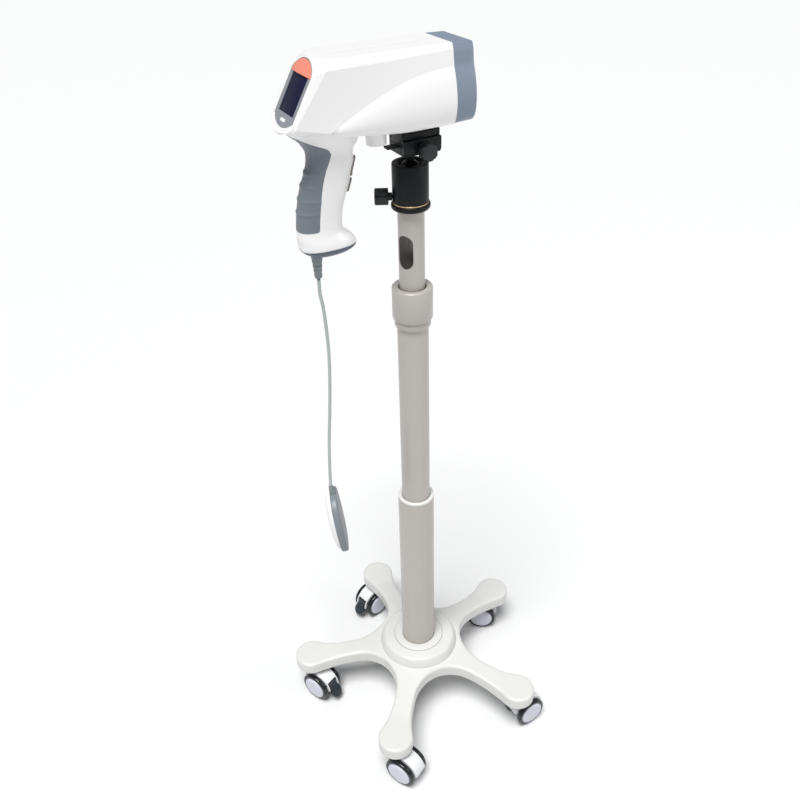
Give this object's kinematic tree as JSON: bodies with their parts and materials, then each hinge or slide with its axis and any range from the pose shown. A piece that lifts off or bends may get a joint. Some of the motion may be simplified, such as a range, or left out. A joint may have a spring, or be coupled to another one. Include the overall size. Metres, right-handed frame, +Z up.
{
  "type": "colposcope",
  "caption": "Hand-held video colposcope with a pistol grip on a ball head and a telescopic column with a five-star caster base, with a hand switch on a lead.",
  "frame": {"origin": "on the floor, on the column's axis", "axes": "+Z up along the column; +X the way the lens looks, so the screen faces -X; +Y to the user's left"},
  "size_m": [0.4706, 0.4669, 1.23],
  "materials": {
    "base_white": "white gloss powder coat on an aluminium casting",
    "column_paint": "warm light grey satin paint",
    "column_trim": "light grey moulded bush",
    "glide_black": "black moulded",
    "steel": "bright zinc",
    "ball_steel": "black oxide, smooth",
    "ball_head_black": "satin black anodised",
    "knob_black": "black moulded",
    "gold_line": "thin brass-coloured line",
    "head_white": "glossy white moulding",
    "ring_slate": "blue-grey moulding",
    "bezel_grey": "mid grey moulding",
    "screen_dark": "dark display glass",
    "cap_coral": "coral translucent moulding",
    "lens_glass": "coated lens",
    "lamp_white": "white lamp board",
    "board_green": "circuit board",
    "grip_rubber": "soft grey rubber",
    "key_grey": "brownish grey keys",
    "cap_slate": "slate moulding",
    "relief_grey": "grey-green boot",
    "lead_grey": "pale grey-green jacket",
    "switch_grey": "grey moulding",
    "caster_white": "white moulded hood",
    "hub_lilac": "pale lilac-grey disc",
    "tyre_black": "black moulded tyre",
    "pedal_slate": "dark slate moulding"
  },
  "bodies": {
    "stand": {"base_casting": "base_white", "trim_ring": "base_white", "swivel_pins": "steel", "column_bolt": "steel", "lower_tube": "column_paint", "guide_bush": "column_trim"},
    "middle": {"mid_tube": "column_paint", "mid_glide": "glide_black", "ferrule": "column_paint", "collet": "glide_black"},
    "collar": {"collar": "column_paint"},
    "mast": {"top_tube": "column_paint", "top_glide": "glide_black", "pan_base": "ball_head_black", "index_ring": "gold_line"},
    "pan_housing": {"ball_housing": "ball_head_black", "ball_seat": "steel"},
    "lock_knob": {"lock_knob": "knob_black"},
    "ball": {"ball": "ball_steel"},
    "head": {"clamp": "ball_head_black", "release_plate": "ball_head_black", "housing_left": "head_white", "housing_right": "head_white", "front_ring": "ring_slate", "lamp_ring": "lamp_white", "camera": "glide_black", "lens_glass": "lens_glass", "main_board": "board_green", "screen_bezel": "bezel_grey", "screen": "screen_dark", "top_cap": "cap_coral", "grip_cover": "grip_rubber", "handle_cap": "cap_slate", "strain_relief": "relief_grey"},
    "jaw": {"clamp_jaw": "ball_head_black"},
    "jaw_knob": {"clamp_knob": "knob_black"},
    "menu_button": {"menu_button": "head_white"},
    "upper_key": {"upper_key": "key_grey"},
    "lower_key": {"lower_key": "key_grey"},
    "lead_top": {"cord_top": "lead_grey"},
    "hand_switch": {"cord": "lead_grey", "switch_base": "switch_grey"},
    "press_cap": {"switch_cap": "head_white"},
    "caster_1": {"hood_1": "caster_white"},
    "wheelset_1": {"wheels_1": "hub_lilac", "tyres_1": "tyre_black"},
    "caster_2": {"hood_2": "caster_white"},
    "wheelset_2": {"wheels_2": "hub_lilac", "tyres_2": "tyre_black"},
    "pedal_2": {"brake_pedal_2": "pedal_slate"},
    "caster_3": {"hood_3": "caster_white"},
    "wheelset_3": {"wheels_3": "hub_lilac", "tyres_3": "tyre_black"},
    "pedal_3": {"brake_pedal_3": "pedal_slate"},
    "caster_4": {"hood_4": "caster_white"},
    "wheelset_4": {"wheels_4": "hub_lilac", "tyres_4": "tyre_black"},
    "caster_5": {"hood_5": "caster_white"},
    "wheelset_5": {"wheels_5": "hub_lilac", "tyres_5": "tyre_black"}
  },
  "joints": [
    {"name": "lower_slide", "type": "slide", "parent": "stand", "child": "middle", "axis": [0, 0, 1], "range_m": [-0.16, 0.12]},
    {"name": "upper_slide", "type": "slide", "parent": "middle", "child": "mast", "axis": [0, 0, 1], "range_m": [-0.11, 0.15]},
    {"name": "collar_twist", "type": "hinge", "parent": "middle", "child": "collar", "pos_m": [0, 0, 0.87], "axis": [0, 0, 1], "range_deg": [0, 120]},
    {"name": "head_pan", "type": "hinge", "parent": "mast", "child": "pan_housing", "pos_m": [0, 0, 1.0259], "axis": [0, 0, 1], "continuous": true},
    {"name": "ball_lean", "type": "hinge", "parent": "pan_housing", "child": "ball", "pos_m": [0, 0, 1.0645], "axis": [1, 0, 0], "range_deg": [-15, 15]},
    {"name": "head_tilt", "type": "hinge", "parent": "ball", "child": "head", "pos_m": [0, 0, 1.0645], "axis": [0, 1, 0], "range_deg": [-10, 30]},
    {"name": "lock_turn", "type": "hinge", "parent": "pan_housing", "child": "lock_knob", "pos_m": [-0.02649, 0.01408, 1.0319], "axis": [-0.8829, 0.4695, 0], "range_deg": [0, 180]},
    {"name": "jaw_slide", "type": "slide", "parent": "head", "child": "jaw", "axis": [0, -1, 0], "range_m": [0, 0.0012]},
    {"name": "jaw_knob_turn", "type": "hinge", "parent": "jaw", "child": "jaw_knob", "pos_m": [0.008, -0.03, 1.101], "axis": [0, -1, 0], "range_deg": [0, 360]},
    {"name": "menu_press", "type": "slide", "parent": "head", "child": "menu_button", "axis": [0.8988, 0, -0.4384], "range_m": [0, 0.0015], "stiffness_N_per_m": 300},
    {"name": "upper_key_press", "type": "slide", "parent": "head", "child": "upper_key", "axis": [-1, 0, 0], "range_m": [0, 0.002], "stiffness_N_per_m": 400},
    {"name": "lower_key_press", "type": "slide", "parent": "head", "child": "lower_key", "axis": [-1, 0, 0], "range_m": [0, 0.002], "stiffness_N_per_m": 400},
    {"name": "lead_swing_y", "type": "hinge", "parent": "head", "child": "lead_top", "pos_m": [-0.145, 0, 0.9425], "axis": [0, 1, 0], "range_deg": [-30, 10]},
    {"name": "lead_swing_x", "type": "hinge", "parent": "lead_top", "child": "hand_switch", "pos_m": [-0.145, 0, 0.92], "axis": [1, 0, 0], "range_deg": [-15, 15]},
    {"name": "cap_press", "type": "slide", "parent": "hand_switch", "child": "press_cap", "axis": [0.9266, -0.3557, 0.1219], "range_m": [0, 0.003], "stiffness_N_per_m": 500},
    {"name": "swivel_1", "type": "hinge", "parent": "stand", "child": "caster_1", "pos_m": [0.20861, 0.05201, 0.06], "axis": [0, 0, 1], "continuous": true},
    {"name": "wheel_spin_1", "type": "hinge", "parent": "caster_1", "child": "wheelset_1", "pos_m": [0.1912, 0.06376, 0.03], "axis": [-0.5592, -0.829, 0], "continuous": true},
    {"name": "swivel_2", "type": "hinge", "parent": "stand", "child": "caster_2", "pos_m": [0.015, 0.21448, 0.06], "axis": [0, 0, 1], "continuous": true},
    {"name": "wheel_spin_2", "type": "hinge", "parent": "caster_2", "child": "wheelset_2", "pos_m": [-0.00519, 0.20869, 0.03], "axis": [0.2756, -0.9613, 0], "continuous": true},
    {"name": "brake_2", "type": "hinge", "parent": "caster_2", "child": "pedal_2", "pos_m": [-0.0293, 0.20177, 0.04386], "axis": [0.2756, -0.9613, 0], "range_deg": [0, 15]},
    {"name": "swivel_3", "type": "hinge", "parent": "stand", "child": "caster_3", "pos_m": [-0.19934, 0.08054, 0.06], "axis": [0, 0, 1], "continuous": true},
    {"name": "wheel_spin_3", "type": "hinge", "parent": "caster_3", "child": "wheelset_3", "pos_m": [-0.19047, 0.06151, 0.03], "axis": [0.9063, 0.4226, 0], "continuous": true},
    {"name": "brake_3", "type": "hinge", "parent": "caster_3", "child": "pedal_3", "pos_m": [-0.17987, 0.03878, 0.04386], "axis": [0.9063, 0.4226, 0], "range_deg": [0, 15]},
    {"name": "swivel_4", "type": "hinge", "parent": "stand", "child": "caster_4", "pos_m": [-0.1382, -0.1647, 0.06], "axis": [0, 0, 1], "continuous": true},
    {"name": "wheel_spin_4", "type": "hinge", "parent": "caster_4", "child": "wheelset_4", "pos_m": [-0.12834, -0.18324, 0.03], "axis": [0.8829, 0.4695, 0], "continuous": true},
    {"name": "swivel_5", "type": "hinge", "parent": "stand", "child": "caster_5", "pos_m": [0.11393, -0.18233, 0.06], "axis": [0, 0, 1], "continuous": true},
    {"name": "wheel_spin_5", "type": "hinge", "parent": "caster_5", "child": "wheelset_5", "pos_m": [0.13482, -0.18014, 0.03], "axis": [-0.1045, 0.9945, 0], "continuous": true}
  ],
  "couplings": [
    {"joint": "jaw_knob_turn", "follows": "jaw_slide", "rad_per_m": 5236},
    {"joint": "lead_swing_y", "follows": "head_tilt", "ratio": -1},
    {"joint": "lead_swing_x", "follows": "ball_lean", "ratio": -1}
  ]
}
